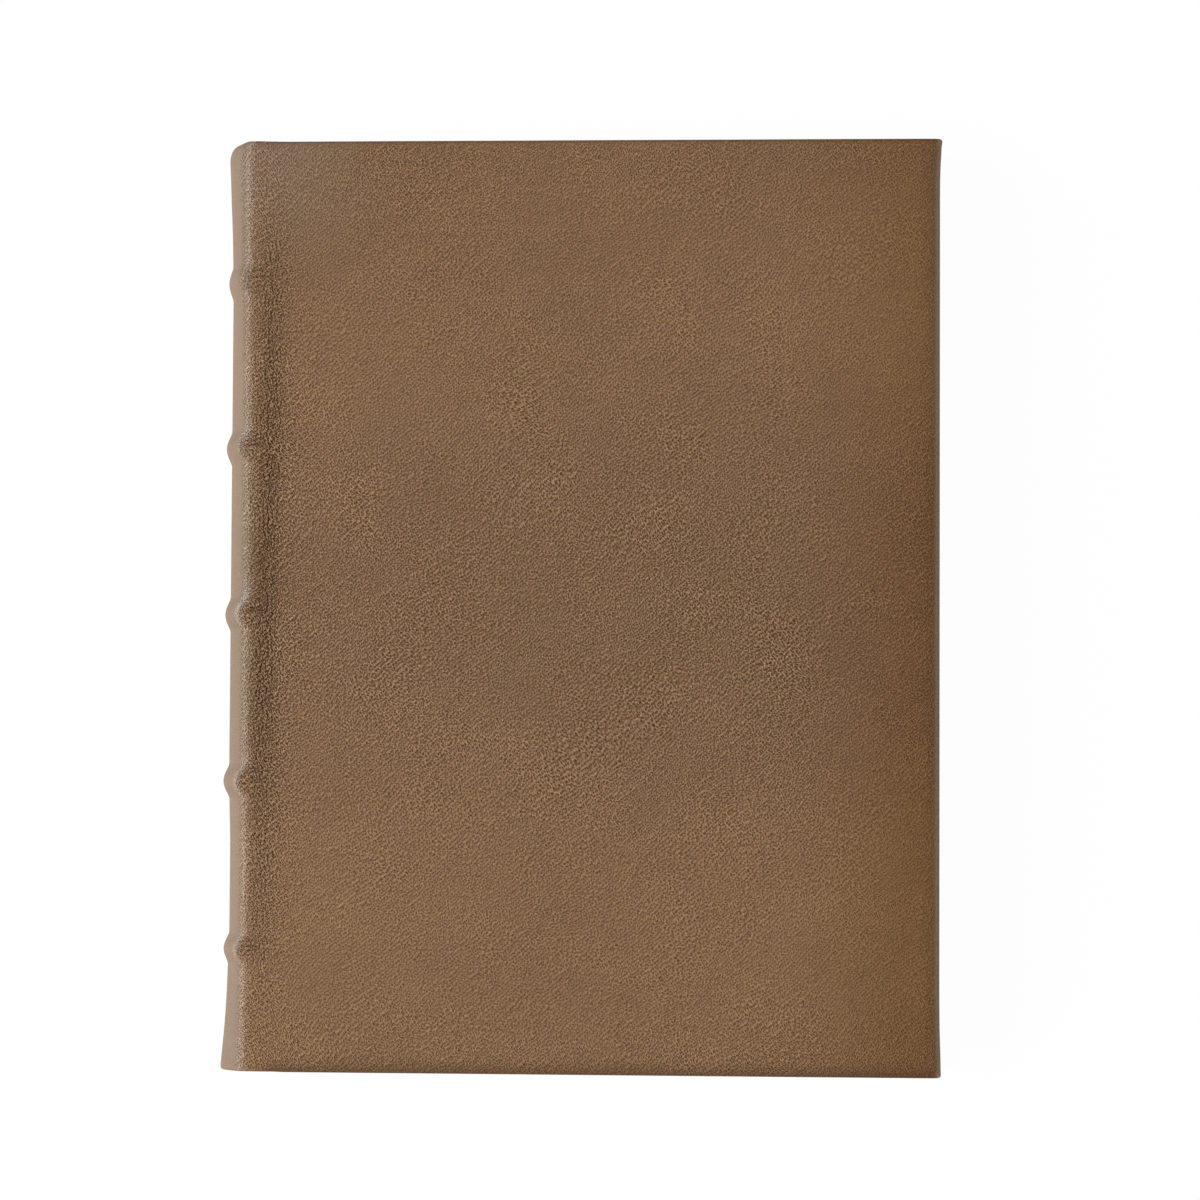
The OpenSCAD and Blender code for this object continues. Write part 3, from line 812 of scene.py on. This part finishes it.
def leather_material():
    """Brown calf: pebbled grain, short creases along the joints with painted shade, paler ridges that are
    worn and carry a painted highlight, painted shade at the edges and towards the fore-edge.
    """
    material, tree, shader = new_material("taupe_leather")
    surface = add(tree, "ShaderNodeUVMap", uv_map="surface").outputs[0]
    place = add(tree, "ShaderNodeVectorMath", {0: surface, "Scale": 1000.0}, operation="SCALE").outputs[0]
    grain_share, crease_share = mask(tree, "grain"), mask(tree, "crease")
    wear_and_highlight, edge = mask(tree, "wear_and_highlight"), mask(tree, "edge")
    pebbles = use_group(tree, GRAIN, {"Vector": place, "Direction": PEBBLE_TURN,
                                      "Width": PEBBLE_WIDTH, "Length": PEBBLE_LENGTH})
    strayed = wander(tree, wander(tree, place, 0.22, 2.6), 0.9, 0.7)
    parts = add(tree, "ShaderNodeSeparateXYZ", {0: strayed})
    spots = noise(tree, vector_sums(tree, "MULTIPLY", place, (1.1, 0.42, 1.0)), 1.0, 1.0, 0.5, flat=True)
    spots = stretch(tree, spots, 0.34, 0.52)
    # Fold lines: real creases and puckers in the bump, and painted shade where they darken the colour
    lines = thin_lines(tree, parts.outputs["X"], CREASES_APART)
    folds = sums(tree, "MULTIPLY", sums(tree, "MULTIPLY", lines, spots), crease_share)
    cross = sums(tree, "MULTIPLY", thin_lines(tree, parts.outputs["Y"], PUCKERS_APART), mask(tree, "pucker"))
    folds = sums(tree, "MAXIMUM", folds, sums(tree, "MULTIPLY", cross, 0.6))
    mottle = noise(tree, place, 0.14, 3.0, 0.6, flat=True)
    cloud = noise(tree, place, 0.016, 2.0, 0.5, flat=True)
    # Random mottle and clouds, plus the painted light and shade of tone along the height
    mottle_and_painted_light = sums(tree, "MULTIPLY_ADD", sums(tree, "SUBTRACT", mottle, 0.5), 0.9, mask(tree, "tone"))
    mottle_and_painted_light = sums(tree, "MULTIPLY_ADD", sums(tree, "SUBTRACT", cloud, 0.5), 1.1, mottle_and_painted_light)
    colour = mixed(tree, stretch(tree, mottle_and_painted_light, -0.75, 0.75, smooth=False), LEATHER_DARK, LEATHER_LIGHT)
    # Pale crowns: the grain's own colour plus a painted highlight of its relief
    crown = sums(tree, "MULTIPLY", pebbles["Crowns"], grain_share)
    colour = mixed(tree, sums(tree, "MULTIPLY", crown, 0.85), colour, LEATHER_CROWN_AND_HIGHLIGHT)
    # Greyer spine: worn leather plus a painted reflection
    colour = mixed(tree, sums(tree, "MULTIPLY", mask(tree, "spine"), 0.8), colour, LEATHER_SPINE_WORN_AND_SHEEN)
    # Dark pits: the grain's own colour plus painted shade in its hollows
    pit = sums(tree, "MULTIPLY", pebbles["Pits"], grain_share)
    # Painted shade: in the pits, the folds and at the edges
    shade = sums(tree, "MULTIPLY_ADD", pit, 1.15, sums(tree, "MULTIPLY", folds, 1.0))
    # edge adds painted shade at the rounded edges
    shade = sums(tree, "ADD", shade, sums(tree, "MULTIPLY", edge, 0.45), clamp=True)
    colour = mixed(tree, shade, colour, LEATHER_PIT_AND_SHADE)
    # Painted sheen near the head of the joint
    painted_sheen = sums(tree, "MULTIPLY", mask(tree, "painted_sheen"), 0.12)
    colour = mixed(tree, painted_sheen, colour, LEATHER_WORN_AND_SHEEN)
    # Paler crowns on the ridge: worn leather plus a painted highlight
    rubbed_and_highlight = sums(tree, "MULTIPLY", wear_and_highlight, stretch(tree, pebbles["Crowns"], 0.1, 0.8, 0.2, 1.15))
    colour = mixed(tree, rubbed_and_highlight, colour, LEATHER_WORN_AND_SHEEN)
    # Painted shade towards the fore-edge
    colour = mixed(tree, mask(tree, "rim"), colour, LEATHER_FORE_EDGE_SHADE, "MULTIPLY")
    # Pale fore-edge line: rubbed leather plus a painted highlight
    colour = mixed(tree, sums(tree, "MULTIPLY", mask(tree, "rubbed_and_highlight"), 0.85), colour, LEATHER_RUBBED_AND_HIGHLIGHT)
    tree.links.new(colour, shader.inputs["Base Color"])
    height = sums(tree, "MULTIPLY", pebbles["Height"], sums(tree, "MULTIPLY", grain_share, 0.16))
    height = sums(tree, "MULTIPLY_ADD", folds, -0.5, height)
    bump = add(tree, "ShaderNodeBump", {"Strength": 1.0, "Distance": 0.001, "Height": height})
    tree.links.new(bump.outputs[0], shader.inputs["Normal"])
    gloss = sums(tree, "MULTIPLY_ADD", pebbles["Pits"], 0.12, 0.62)
    gloss = sums(tree, "MULTIPLY_ADD", wear_and_highlight, -0.24, gloss)
    gloss = sums(tree, "MULTIPLY_ADD", crease_share, 0.1, gloss)
    tree.links.new(gloss, shader.inputs["Roughness"])
    shader.inputs["Specular IOR Level"].default_value = LEATHER_SPECULAR
    return material


def paper_fibre():
    """Faint tone and unevenness of paper."""
    tree, given, result = new_group(
        "paper_fibre", [("Vector", "NodeSocketVector", None)],
        [("Tone", "NodeSocketFloat"), ("Height", "NodeSocketFloat")])
    place = given.outputs["Vector"]
    cloud = noise(tree, place, 90.0, 3.0, 0.6)
    drawn = vector_sums(tree, "MULTIPLY", wander(tree, place, 300.0, 0.002), (1.0, 2.6, 1.0))
    fibre = noise(tree, drawn, 1500.0, 2.0)
    tone = sums(tree, "MULTIPLY_ADD", fibre, 0.4, sums(tree, "MULTIPLY", cloud, 0.6))
    tree.links.new(tone, result.inputs["Tone"])
    tree.links.new(sums(tree, "MULTIPLY_ADD", cloud, 0.06, sums(tree, "MULTIPLY", fibre, 0.02)),
                   result.inputs["Height"])
    return tree


FIBRE = paper_fibre()


def surface_finish(tree, shader, colour, height, rough, strength=1.0, distance=0.001):
    """Links a colour and a bump height to the shader, and sets its roughness."""
    tree.links.new(colour, shader.inputs["Base Color"])
    bump = add(tree, "ShaderNodeBump", {"Strength": strength, "Distance": distance, "Height": height})
    tree.links.new(bump.outputs[0], shader.inputs["Normal"])
    shader.inputs["Roughness"].default_value = rough


def object_place(tree):
    """Object coordinates."""
    return add(tree, "ShaderNodeTexCoord").outputs["Object"]


def endpaper_material():
    """Cream endpaper with faint clouds and fibres."""
    material, tree, shader = new_material("cream_endpaper")
    place = object_place(tree)
    fibre = use_group(tree, FIBRE, {"Vector": place})
    colour = mixed(tree, fibre["Tone"], ENDPAPER_DARK, ENDPAPER_LIGHT)
    surface_finish(tree, shader, colour, fibre["Height"], 0.85)
    shader.inputs["Specular IOR Level"].default_value = 0.3
    return material


def page_material():
    """Pages: fine sheet edges across the thickness, in creams that change from section to section."""
    material, tree, shader = new_material("page_edges")
    place = object_place(tree)
    fibre = use_group(tree, FIBRE, {"Vector": place})
    flat = vector_sums(tree, "MULTIPLY", wander(tree, place, 20.0, 0.0006), (12.0, 12.0, 4200.0))
    sheets = noise(tree, flat, 1.0, 3.0, 0.7)
    sections = noise(tree, vector_sums(tree, "MULTIPLY", place, (3.0, 3.0, 620.0)), 1.0, 1.0)
    tone = sums(tree, "MULTIPLY_ADD", sheets, 0.75, sums(tree, "MULTIPLY", sections, 0.35))
    colour = mixed(tree, stretch(tree, tone, 0.35, 0.75), PAGE_DARK, PAGE_LIGHT)
    colour = mixed(tree, sums(tree, "MULTIPLY", fibre["Tone"], 0.2), colour, PAGE_AGED)
    surface_finish(tree, shader, colour, sums(tree, "MULTIPLY", sheets, 0.12), 0.9)
    shader.inputs["Specular IOR Level"].default_value = 0.25
    return material


def thread_material():
    """Endband thread in two colours, changing every three turns."""
    material, tree, shader = new_material("endband_thread")
    turns = add(tree, "ShaderNodeSeparateXYZ",
                {0: vector_sums(tree, "MULTIPLY", add(tree, "ShaderNodeUVMap", uv_map="surface").outputs[0],
                                (1000.0, 1000.0, 1.0))})
    share = sums(tree, "FRACT", sums(tree, "DIVIDE", turns.outputs["X"], 6.0))
    share = sums(tree, "GREATER_THAN", share, 0.5)
    strand = sums(tree, "ABSOLUTE", sums(tree, "SINE", sums(tree, "MULTIPLY", turns.outputs["X"], math.pi)))
    colour = mixed(tree, share, THREAD_RED, THREAD_CREAM)
    # Painted shade in the grooves between the thread's turns
    colour = mixed(tree, stretch(tree, strand, 0.5, 0.0, 0.0, 0.7), colour, THREAD_GAP_SHADE)
    fuzz = noise(tree, object_place(tree), 2600.0, 2.0)
    surface_finish(tree, shader, colour, fuzz, 0.6, strength=0.6, distance=0.0001)
    return material


def board_material():
    """Grey pasteboard with specks and short fibres."""
    material, tree, shader = new_material("grey_pasteboard")
    place = object_place(tree)
    fibre = use_group(tree, FIBRE, {"Vector": place})
    specks = stretch(tree, noise(tree, place, 2400.0, 1.0), 0.62, 0.72)
    colour = mixed(tree, fibre["Tone"], (0.24, 0.22, 0.19, 1), (0.36, 0.34, 0.30, 1))
    colour = mixed(tree, sums(tree, "MULTIPLY", specks, 0.6), colour, (0.12, 0.10, 0.08, 1))
    surface_finish(tree, shader, colour, fibre["Height"], 0.95)
    return material


def mull_material():
    """Open cloth stiffened with glue, woven from two sets of threads a millimetre apart."""
    material, tree, shader = new_material("open_cloth")
    parts = add(tree, "ShaderNodeSeparateXYZ", {0: object_place(tree)})
    warp = sums(tree, "SINE", sums(tree, "MULTIPLY", parts.outputs["Y"], 6283.0))
    weft = sums(tree, "SINE", sums(tree, "MULTIPLY", parts.outputs["Z"], 6283.0))
    threads = sums(tree, "MAXIMUM", warp, weft)
    colour = mixed(tree, stretch(tree, threads, -0.2, 0.8), (0.42, 0.34, 0.22, 1), (0.72, 0.66, 0.53, 1))
    surface_finish(tree, shader, colour, threads, 0.9, strength=0.8, distance=0.0002)
    return material


def lining_material():
    """Brown wrapping paper over the spine, with laid fibres along the height."""
    material, tree, shader = new_material("brown_lining_paper")
    place = object_place(tree)
    laid = noise(tree, vector_sums(tree, "MULTIPLY", place, (900.0, 90.0, 900.0)), 1.0, 3.0)
    fibre = use_group(tree, FIBRE, {"Vector": place})
    colour = mixed(tree, laid, (0.34, 0.22, 0.11, 1), (0.50, 0.35, 0.19, 1))
    surface_finish(tree, shader, colour, fibre["Height"], 0.85)
    return material


def strip_material():
    """Raw leather strip of a band, with the loose fibres of the flesh side."""
    material, tree, shader = new_material("raw_leather_strip")
    place = object_place(tree)
    loose = noise(tree, wander(tree, place, 500.0, 0.001), 1100.0, 4.0, 0.65)
    colour = mixed(tree, loose, (0.22, 0.12, 0.06, 1), (0.40, 0.25, 0.14, 1))
    surface_finish(tree, shader, colour, loose, 0.9, strength=0.7, distance=0.0003)
    return material


def dress(material, *objects):
    """Gives objects one material."""
    for obj in objects:
        obj.data.materials.clear()
        obj.data.materials.append(material)


leather_finish = leather_material()
nodes = frame["nodes"]
dress(leather_finish, front_skin, back_skin)
endpaper = endpaper_material()
made = bpy.data.objects
dress(endpaper, *[made[f"{s}_{k}_paper"] for s in ("front", "back") for k in ("joint", "shoulder")])
dress(endpaper, *[nodes[f"{s}_{k}"] for s in ("front", "back") for k in ("flyleaf", "pastedown", "infill")])
dress(page_material(), nodes["text_block"])
dress(thread_material(), made["head_endband_roll"], made["tail_endband_roll"])
dress(board_material(), nodes["front_board"], nodes["back_board"])
dress(mull_material(), nodes["mull"])
dress(lining_material(), nodes["spine_lining"])
dress(strip_material(), *[nodes[f"band_{k}"] for k in range(1, 6)])


# The floor, in metres, and how bright it and the sky are
FLOOR_HALF = 2
FLOOR_Z = -0.0002
FLOOR_GLOW = 1.02
FLOOR_GLOW_SHARE = 0.95
SKY_LIGHT = 0.24
SKY_SEEN = 1.0


def floor_material():
    """White floor that glows to the camera and in reflections, and is unseen from below."""
    material, tree, shader = new_material("white_floor")
    shader.inputs["Base Color"].default_value = (0.8, 0.8, 0.8, 1)
    shader.inputs["Roughness"].default_value = 0.9
    rays = tree.nodes.new("ShaderNodeLightPath")
    seen = sums(tree, "MAXIMUM", rays.outputs["Is Camera Ray"], rays.outputs["Is Glossy Ray"])
    seen = sums(tree, "MAXIMUM", seen, rays.outputs["Is Transmission Ray"])
    seen = sums(tree, "MULTIPLY", seen, FLOOR_GLOW_SHARE)
    glow = add(tree, "ShaderNodeEmission", {"Color": (1, 1, 1, 1), "Strength": FLOOR_GLOW})
    blend = add(tree, "ShaderNodeMixShader", {0: seen, 1: shader.outputs[0], 2: glow.outputs[0]})
    hidden = tree.nodes.new("ShaderNodeBsdfTransparent")
    behind = tree.nodes.new("ShaderNodeNewGeometry").outputs["Backfacing"]
    both = add(tree, "ShaderNodeMixShader", {0: behind, 1: blend.outputs[0], 2: hidden.outputs[0]})
    output = next(n for n in tree.nodes if n.bl_idname == "ShaderNodeOutputMaterial")
    tree.links.new(both.outputs[0], output.inputs["Surface"])
    return material


def make_floor():
    """Flat square under the book, four metres wide, facing up."""
    mesh = bpy.data.meshes.new("floor")
    corners = [(x * FLOOR_HALF, y * FLOOR_HALF, FLOOR_Z) for x, y in ((-1, -1), (1, -1), (1, 1), (-1, 1))]
    mesh.from_pydata(corners, [], [(0, 1, 2, 3)])
    floor = bpy.data.objects.new("floor", mesh)
    bpy.context.scene.collection.objects.link(floor)
    floor.data.materials.append(floor_material())
    return floor


make_floor()

world = bpy.data.worlds.new("studio")
world.use_nodes = True
sky = world.node_tree
sky.nodes.clear()
sky_light = add(sky, "ShaderNodeBackground", {"Color": (1, 1, 1, 1), "Strength": SKY_LIGHT})
sky_seen = add(sky, "ShaderNodeBackground", {"Color": (1, 1, 1, 1), "Strength": SKY_SEEN})
sky_rays = sky.nodes.new("ShaderNodeLightPath")
sky_mix = add(sky, "ShaderNodeMixShader",
              {0: sky_rays.outputs["Is Camera Ray"], 1: sky_light.outputs[0], 2: sky_seen.outputs[0]})
sky_out = sky.nodes.new("ShaderNodeOutputWorld")
sky.links.new(sky_mix.outputs[0], sky_out.inputs["Surface"])
bpy.context.scene.world = world
bpy.context.scene.view_settings.view_transform = "Standard"
